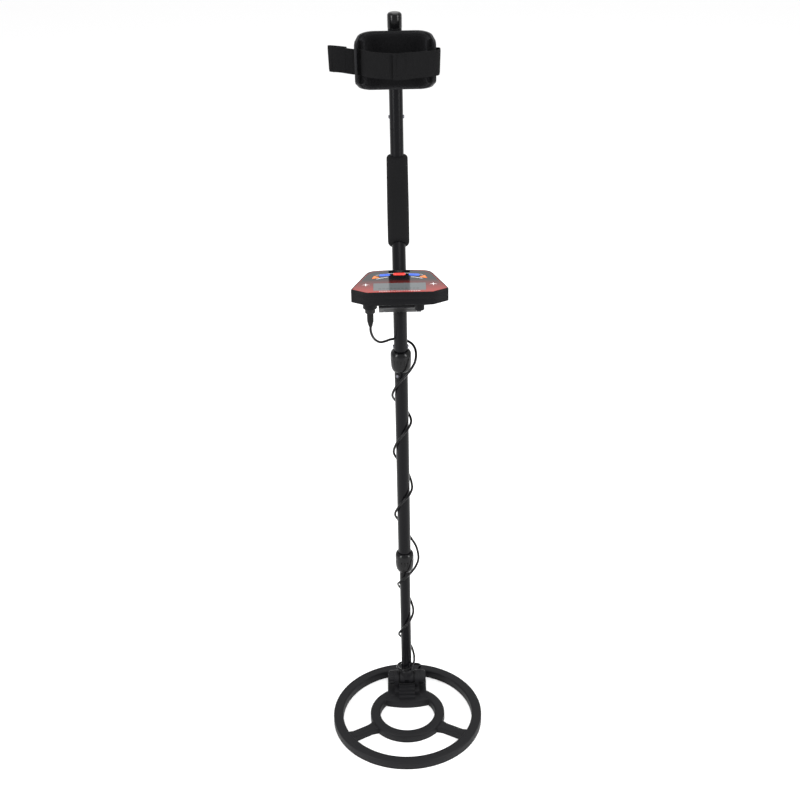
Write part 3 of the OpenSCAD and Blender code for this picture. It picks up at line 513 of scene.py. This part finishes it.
# %% Arm pad
CUP_FLAT, CUP_CORNER, CUP_FLARE = 26 * MM, 24 * MM, math.radians(9.6)
CUP_FOOT = 7 * MM
CUP_BACK_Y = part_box("arm_cup")[1][1] - CUP_FOOT
PAD_DEPTH, PAD_THICK, PAD_LIP = 3.05 * MM, 6 * MM, 8 * MM
PAD_RISE, PAD_FALL, PAD_INSET = 0.495, 0.13, 2 * MM
PAD_EDGE, PAD_DRAWN, PAD_FULLNESS, PAD_FUZZ_MM = 0.09, 0.55, 0.94, 0.35
pad_low, pad_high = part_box("arm_pad")


def cup_point(walk, depth):
    """A point of the cup's curve, this far round it from the middle and this deep inside it."""
    side = 1 if walk >= 0 else -1
    walk = abs(walk)
    arc = (math.pi / 2 - CUP_FLARE) * CUP_CORNER
    if walk < CUP_FLAT:
        return side * walk, CUP_BACK_Y - depth
    turn = math.pi / 2 - min(walk - CUP_FLAT, arc) / CUP_CORNER
    x = CUP_FLAT + (CUP_CORNER - depth) * math.cos(turn)
    y = CUP_BACK_Y - CUP_CORNER + (CUP_CORNER - depth) * math.sin(turn)
    lip = max(0.0, walk - CUP_FLAT - arc)
    return side * (x + lip * math.sin(CUP_FLARE)), y - lip * math.cos(CUP_FLARE)


def pad_fuzz(u, v):
    """Fine and coarse noise over the pad's face."""
    fine = noise.noise(Vector((u * 46, v * 30, 3)))
    coarse = noise.noise(Vector((u * 15, v * 10, 8)))
    return fine * 0.5 + coarse


def padded_lining(name, across=120, up=64):
    """A crowned pad: a grid for its face, a grid for its back and a strip round the edge."""
    arc = (math.pi / 2 - CUP_FLARE) * CUP_CORNER
    reach = CUP_FLAT + arc + PAD_LIP
    points, faces = [], []
    for layer in (0, 1):
        for i in range(across + 1):
            for j in range(up + 1):
                u, v = 2 * i / across - 1, j / up
                edge = min(1 - abs(u), 2 * min(v, 1 - v) * 0.6)
                crown = 1 - (1 - min(1.0, edge / PAD_EDGE)) ** 2 * PAD_DRAWN
                forward = max(0.0, CUP_BACK_Y - PAD_INSET - cup_point(u * reach, 0)[1])
                foot, head = pad_low[2] + PAD_RISE * forward, pad_high[2] - PAD_FALL * forward
                z = foot + v * (head - foot)
                thick = PAD_THICK * crown * PAD_FULLNESS + pad_fuzz(u, v) * PAD_FUZZ_MM * MM
                x, y = cup_point(u * reach, PAD_DEPTH + (thick if layer else 0))
                points.append((x, y, z))
    row, block = up + 1, (across + 1) * (up + 1)
    for i in range(across):
        for j in range(up):
            a = i * row + j
            faces.append((a, a + row, a + row + 1, a + 1))
            faces.append((block + a, block + a + 1, block + a + row + 1, block + a + row))
    rim = [j for j in range(up)] + [i * row + up for i in range(across)]
    rim += [across * row + j for j in range(up, 0, -1)] + [i * row for i in range(across, 0, -1)]
    for a, b in zip(rim, rim[1:] + rim[:1]):
        faces.append((a, b, block + b, block + a))
    return new_mesh(name, points, faces, sharp=80)


pad = padded_lining("arm_pad_lining")
pad.data.materials.append(pile)
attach(pad, "handle")
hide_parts("arm_pad")
print("pad has", len(pad.data.polygons), "faces")


# %% [markdown]
# ## Geometry Nodes: small things in great number
# Stitches, pile fibres and printed ticks all repeat one small shape. They could be placed in a
# Python loop, but Geometry Nodes keep the pattern editable: points are scattered or spaced, a
# shape is put on each, and the tree ends by making them real and giving them their material.
# A helper builds the tree's frame, and another turns the result into a plain mesh.

# %% Geometry Nodes helpers
def node_tree(name, sizes):
    """A geometry tree with named inputs for its sizes. Returns the tree and its input node."""
    tree = bpy.data.node_groups.new(name, "GeometryNodeTree")
    tree.interface.new_socket("Geometry", in_out="INPUT", socket_type="NodeSocketGeometry")
    for label in sizes:
        kind = "NodeSocketInt" if label in ("Seed", "Count") else "NodeSocketFloat"
        tree.interface.new_socket(label, in_out="INPUT", socket_type=kind)
    tree.interface.new_socket("Geometry", in_out="OUTPUT", socket_type="NodeSocketGeometry")
    return tree, tree.nodes.new("NodeGroupInput")


def end_tree(tree, instances, material):
    """Realizes the instances, sets their material and links the tree's output."""
    real = add(tree, "GeometryNodeRealizeInstances", {"Geometry": instances})
    painted = add(tree, "GeometryNodeSetMaterial", {"Geometry": real.outputs["Geometry"]})
    painted.inputs["Material"].default_value = material
    out = tree.nodes.new("NodeGroupOutput")
    tree.links.new(painted.outputs["Geometry"], out.inputs["Geometry"])


def grown(name, source, tree, sizes):
    """Runs a tree on a source mesh and returns what it made, as a plain mesh object."""
    holder = bpy.data.objects.new(name, source)
    bpy.context.scene.collection.objects.link(holder)
    modifier = holder.modifiers.new("pattern", "NODES")
    modifier.node_group = tree
    sockets = {s.name: s.identifier for s in tree.interface.items_tree if s.in_out == "INPUT"}
    for label, value in sizes.items():
        modifier[sockets[label]] = value
    apply_modifiers(holder)
    smooth_by_angle(holder.data, 35)
    return holder


# %% [markdown]
# ### Pile on the pad
# Loop pile is thousands of fine hooks and curls. Only the ones that stand up can be told apart,
# so short tapered hairs are scattered over the pad's face, leaning every way. Each hair is a
# three-sided cone, because it is repeated thousands of times.

# %% Pile fibres
pile_tree, start = node_tree("pile_fibres", ["Density", "Length", "Radius", "Seed"])
scatter = add(pile_tree, "GeometryNodeDistributePointsOnFaces",
              {"Mesh": start.outputs["Geometry"], "Density": start.outputs["Density"],
               "Seed": start.outputs["Seed"]})
hair = add(pile_tree, "GeometryNodeMeshCone",
           {"Radius Bottom": start.outputs["Radius"], "Depth": start.outputs["Length"]})
hair.inputs["Vertices"].default_value = 3
lean = add(pile_tree, "FunctionNodeRandomValue", {"Seed": start.outputs["Seed"]},
           data_type="FLOAT_VECTOR")
lean.inputs["Min"].default_value = (-0.9, -0.9, 0)
lean.inputs["Max"].default_value = (0.9, 0.9, 6.28)
turned = add(pile_tree, "FunctionNodeRotateEuler", {"Rotation": scatter.outputs["Rotation"]},
             space="LOCAL")
pile_tree.links.new(lean.outputs["Value"], turned.inputs["Rotate By"])
placed = add(pile_tree, "GeometryNodeInstanceOnPoints",
             {"Points": scatter.outputs["Points"], "Instance": hair.outputs["Mesh"],
              "Rotation": turned.outputs["Rotation"]})
end_tree(pile_tree, placed.outputs["Instances"], pile)
fibres = grown("arm_pad_pile", pad.data.copy(), pile_tree,
               {"Density": 260000.0, "Length": 1.3 * MM, "Radius": 0.14 * MM, "Seed": 7})
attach(fibres, "handle")
print("pile has", len(fibres.data.polygons), "faces")


# %% [markdown]
# ## The strap
# The forearm is held by a strap of 34 mm webbing in two halves, each sewn to its side of the cup
# through a slot. The right half lies over the left one, held by hook and loop, and the left one's
# tail is folded back outside the cup. Each half is a ribbon along a smooth line, as seen from
# above, with its own UV map for the weave. The free middle sags by a few millimetres.

# %% Strap halves
STRAP_T = 1.6 * MM
STRAP_STEP, SAG_REACH = 1.5 * MM, 24 * MM
SELVEDGE, SELVEDGE_THINNER = 0.93, 0.45
TAIL_CLIMB, TAIL_FROM = 0.1, -56 * MM
strap_low, strap_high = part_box("strap_right")
STRAP_W = strap_high[2] - strap_low[2]
STRAP_MID = (strap_low[2] + strap_high[2]) / 2
RIGHT_PATH = [
    (43, 97), (49, 94.5), (57, 93), (58.5, 88), (55.5, 81), (44, 76), (25, 72.5), (8, 71), (-3, 71),
]
LEFT_PATH = [
    (22, 75.3), (8, 73.8), (-8, 73.6), (-25, 75.5), (-36, 80), (-43, 88), (-48, 93.2), (-55, 94.2),
    (-62, 96), (-74, 99), (-86, 99), (-88, 101.5), (-86, 104), (-74, 104), (-64, 103),
]


def strap_half(name, path, sag_mm, twist_mm):
    """A ribbon of webbing along a line seen from above, with rounded long edges.

    Its free middle sags, and its tail outside the cup, if it has one, climbs towards the fold.
    """
    line = smooth_line([Vector((x, y, 0)) * MM for x, y in path], STRAP_STEP)
    length = line_length(line)
    ring = [(s * STRAP_T / 2 * (1 - SELVEDGE_THINNER * (abs(v) > SELVEDGE)), v * STRAP_W / 2)
            for s, steps in ((1, range(11)), (-1, range(10, -1, -1)))
            for v in [2 * k / 10 - 1 for k in steps]]
    points, faces, uvs, walked = [], [], [], 0.0
    for i, p in enumerate(line):
        walked += (p - line[i - 1]).length if i else 0.0
        ahead = (line[min(i + 1, len(line) - 1)] - line[max(i - 1, 0)]).normalized()
        side = Vector((-ahead.y, ahead.x, 0))
        share = walked / length
        climb = TAIL_CLIMB * max(0.0, TAIL_FROM - p.x)
        hang = sag_mm * MM * math.exp(-(p.x / SAG_REACH) ** 2) - climb
        for off, up in ring:
            roll = twist_mm * MM * math.sin(2 * math.pi * share) * up / STRAP_W
            points.append(p + side * (off + roll) + Vector((0, 0, STRAP_MID + up - hang)))
            uvs.append((walked, up))
    n = len(ring)
    for i in range(len(line) - 1):
        for k in range(n):
            a, b = i * n + k, i * n + (k + 1) % n
            faces.append((a, b, b + n, a + n))
    for end in (0, (len(line) - 1) * n):
        faces += [(end + k, end + k + 1, end + n - 2 - k, end + n - 1 - k) for k in range(n // 2 - 1)]
    piece = new_mesh(name, points, faces, sharp=50)
    layer = piece.data.uv_layers.new(name="strap")
    nearest = {tuple(round(c, 7) for c in p): uv for p, uv in zip(points, uvs)}
    for loop in piece.data.loops:
        spot = piece.data.vertices[loop.vertex_index].co
        layer.data[loop.index].uv = nearest.get(tuple(round(c, 7) for c in spot), (0, 0))
    piece.data.materials.append(webbing)
    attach(piece, "handle")
    print(name, "is", round(length / MM), "mm long")
    return piece, length, line


strap_right, right_length, right_line = strap_half("arm_strap_right", RIGHT_PATH, 2.4, 1.2)
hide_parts("strap_right")
strap_left, left_length, left_line = strap_half("arm_strap_left", LEFT_PATH, 2.0, -1.0)
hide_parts("strap_left")

# %% [markdown]
# ### Stitches
# Each half of the strap is sewn in a box of thread. A stitch is a short bar of thread. The
# points are spaced along a line by a tree, which also turns each stitch along the line.

# %% Stitch rows
STITCH_SIZES = {"Pitch": 2.6 * MM, "Length": 1.9 * MM, "Radius": 0.22 * MM}
STITCH_LIFT = 0.1 * MM
stitch_tree, start = node_tree("stitch_row", ["Pitch", "Length", "Radius"])
seam = add(stitch_tree, "GeometryNodeMeshToCurve", {"Mesh": start.outputs["Geometry"]})
spaced = add(stitch_tree, "GeometryNodeResampleCurve",
             {"Curve": seam.outputs["Curve"], "Length": start.outputs["Pitch"]}, mode="LENGTH")
thread = add(stitch_tree, "GeometryNodeMeshCylinder",
             {"Radius": start.outputs["Radius"], "Depth": start.outputs["Length"]})
thread.inputs["Vertices"].default_value = 6
heading = add(stitch_tree, "GeometryNodeInputTangent")
aligned = add(stitch_tree, "FunctionNodeAlignEulerToVector",
              {"Vector": heading.outputs["Tangent"]}, axis="Z")
sewn = add(stitch_tree, "GeometryNodeInstanceOnPoints",
           {"Points": spaced.outputs["Curve"], "Instance": thread.outputs["Mesh"],
            "Rotation": aligned.outputs["Rotation"]})
end_tree(stitch_tree, sewn.outputs["Instances"], webbing)


def seam_mesh(name, points):
    mesh = bpy.data.meshes.new(name)
    mesh.from_pydata(points, [(i, i + 1) for i in range(len(points) - 1)], [])
    return mesh


def stitch_box(name, x0, x1, line, inset_mm):
    """A box of stitches on the strap's outer face between two places along x."""
    side = [p for p in line if x0 <= p.x / MM <= x1]
    face = -(STRAP_T / 2 + STITCH_LIFT)
    low, high = STRAP_MID - STRAP_W / 2 + inset_mm * MM, STRAP_MID + STRAP_W / 2 - inset_mm * MM
    loop = [(p.x, p.y + face, high) for p in side] + [(p.x, p.y + face, low) for p in reversed(side)]
    loop.append(loop[0])
    row = grown(name, seam_mesh(name, loop), stitch_tree, STITCH_SIZES)
    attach(row, "handle")
    return row


for row in (stitch_box("strap_stitches_right", 0, 14, right_line, 3),
            stitch_box("strap_stitches_left", -84, -66, [p for p in left_line if p.y < 0.1], 3)):
    print(row.name, "has", len(row.data.polygons), "faces")


# %% [markdown]
# ## Prints on the panel
# The film carries generic marks only: a row of ticks at the front, a star by each end of the
# display, a thin arc by each blue key, a long arc near the back and a red line round the rim. A
# print is thinner than paper. Each is a flat shape laid on the film.

# %% Printed marks
PRINT_T = 0.06 * MM
PANEL_Z = film_high[2]


def printed(name, outlines, material, z=PANEL_Z):
    """Flat outlines, in millimetres, as one thin print that lies on the surface at z."""
    points, faces = [], []
    for outline in outlines:
        first, n = len(points), len(outline)
        for h in (0, PRINT_T):
            points += [(x * MM, y * MM, z + h) for x, y in outline]
        faces.append(tuple(range(first, first + n)))
        faces.append(tuple(range(first + 2 * n - 1, first + n - 1, -1)))
        faces += [(first + i, first + (i + 1) % n, first + n + (i + 1) % n, first + n + i)
                  for i in range(n)]
    piece = new_mesh(name, points, faces)
    piece.data.materials.append(material)
    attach(piece, "handle")
    return piece


def star(cx, cy, long, short):
    """A four-pointed star's outline."""
    return [(cx + (long if i % 2 == 0 else short) * math.cos(math.pi * i / 4),
             cy + (long if i % 2 == 0 else short) * math.sin(math.pi * i / 4)) for i in range(8)]


def arc_band(cx, cy, r, width, a0, a1, steps=20):
    """The outline of a thin band along an arc, from angle a0 to a1 in degrees."""
    outer = [(cx + r * math.cos(a), cy + r * math.sin(a))
             for a in [math.radians(a0 + (a1 - a0) * i / steps) for i in range(steps + 1)]]
    inner = [(cx + (x - cx) * (r - width) / r, cy + (y - cy) * (r - width) / r) for x, y in outer]
    return outer + inner[::-1]


def strips(line, width):
    """A line as flat quads of this width."""
    out = []
    for (ax, ay), (bx, by) in zip(line, line[1:]):
        length = math.hypot(bx - ax, by - ay)
        nx, ny = -(by - ay) / length * width / 2, (bx - ax) / length * width / 2
        out.append([(ax - nx, ay - ny), (bx - nx, by - ny), (bx + nx, by + ny), (ax + nx, ay + ny)])
    return out


STAR_X, STAR_Y, STAR_LONG, STAR_SHORT = 45, -35, 5.2, 0.9
ARC_Y, KEY_ARC_R, BACK_ARC_R = -75, 67, 78.5
printed("print_stars", [star(x, STAR_Y, STAR_LONG, STAR_SHORT) for x in (-STAR_X, STAR_X)], print_white)
printed("print_arcs", [arc_band(0, ARC_Y, KEY_ARC_R, 0.7, 62, 76),
                       arc_band(0, ARC_Y, KEY_ARC_R, 0.7, 104, 118),
                       arc_band(0, ARC_Y, BACK_ARC_R, 0.5, 66, 114, 40)], print_white)
RIM = [(43.5, -60.2), (62.2, -49), (58.3, -38), (43.3, 1), (33, 10.6), (17, 12.2)]
printed("print_rim_line", strips([(-x, y) for x, y in reversed(RIM)] + RIM, 0.7), print_red)

tick_tree, start = node_tree("tick_row", ["Width", "Depth", "Height"])
bar = add(tick_tree, "GeometryNodeMeshCube")
sizes = add(tick_tree, "ShaderNodeCombineXYZ",
            {"X": start.outputs["Width"], "Y": start.outputs["Depth"], "Z": start.outputs["Height"]})
tick_tree.links.new(sizes.outputs["Vector"], bar.inputs["Size"])
row = add(tick_tree, "GeometryNodeInstanceOnPoints",
          {"Points": start.outputs["Geometry"], "Instance": bar.outputs["Mesh"]})
end_tree(tick_tree, row.outputs["Instances"], print_white)
TICK_COUNT, TICK_STEP_MM, TICK_Y = 25, 2.2, -57 * MM
tick_places = [((i - TICK_COUNT // 2) * TICK_STEP_MM * MM, TICK_Y, PANEL_Z + PRINT_T / 2)
               for i in range(TICK_COUNT)]
ticks = grown("print_ticks", seam_mesh("tick_places", tick_places), tick_tree,
              {"Width": 1.1 * MM, "Depth": 0.9 * MM, "Height": PRINT_T})
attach(ticks, "handle")

# %% [markdown]
# ### The display
# The display is off, so only the grey glass shows, with faint segments behind it.

# %% Display segments
LCD_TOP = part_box("lcd_window")[1][2]
SEGMENT_W, SEGMENT_FRONT, SEGMENT_BACK = 3.4, -50, -46.5
bars = [[(x, SEGMENT_FRONT), (x + SEGMENT_W, SEGMENT_FRONT),
         (x + SEGMENT_W, SEGMENT_BACK), (x, SEGMENT_BACK)] for x in range(-28, 27, 5)]
printed("lcd_segments", bars, lcd_ink, z=LCD_TOP)

# %% [markdown]
# ## Floor and light
# A plain pale floor and big soft lamps show a black object best: what the eye reads on black
# plastic is the lamps' reflection. Two tall lamps stand left and right in front, so each tube
# has a long soft highlight on either side, and one hangs above for the panel and the coil.

# %% Floor and lamps
floor = new_mesh("floor", [(-9, -9, 0), (9, -9, 0), (9, 9, 0), (-9, 9, 0)], [(0, 1, 2, 3)])
pale = start_material("pale_floor", "#f4f4f4", 0.9)[0]
floor.data.materials.append(pale)

world = bpy.data.worlds.new("studio")
bpy.context.scene.world = world
world.use_nodes = True
sky = world.node_tree.nodes["Background"]
sky.inputs["Color"].default_value = hex_color("#ffffff")
sky.inputs["Strength"].default_value = 1.05


def soft_lamp(name, place, aim, width, height, watts):
    """A rectangular area lamp, turned to face a point."""
    data = bpy.data.lights.new(name, "AREA")
    data.shape = "RECTANGLE"
    data.size, data.size_y = width, height
    data.energy = watts
    lamp = bpy.data.objects.new(name, data)
    bpy.context.scene.collection.objects.link(lamp)
    lamp.location = place
    lamp.rotation_euler = (Vector(aim) - Vector(place)).to_track_quat("-Z", "Y").to_euler()
    return lamp


soft_lamp("lamp_left", (-1.6, -1.3, 1.2), (0, 0, 0.55), 0.6, 1.8, 52)
soft_lamp("lamp_right", (1.7, -1.1, 1.2), (0, 0, 0.55), 0.6, 1.8, 44)
soft_lamp("lamp_above", (0.2, 0.4, 2.6), (0, 0, 0.4), 1.6, 1.6, 26)
bpy.context.scene.view_settings.view_transform = "Standard"
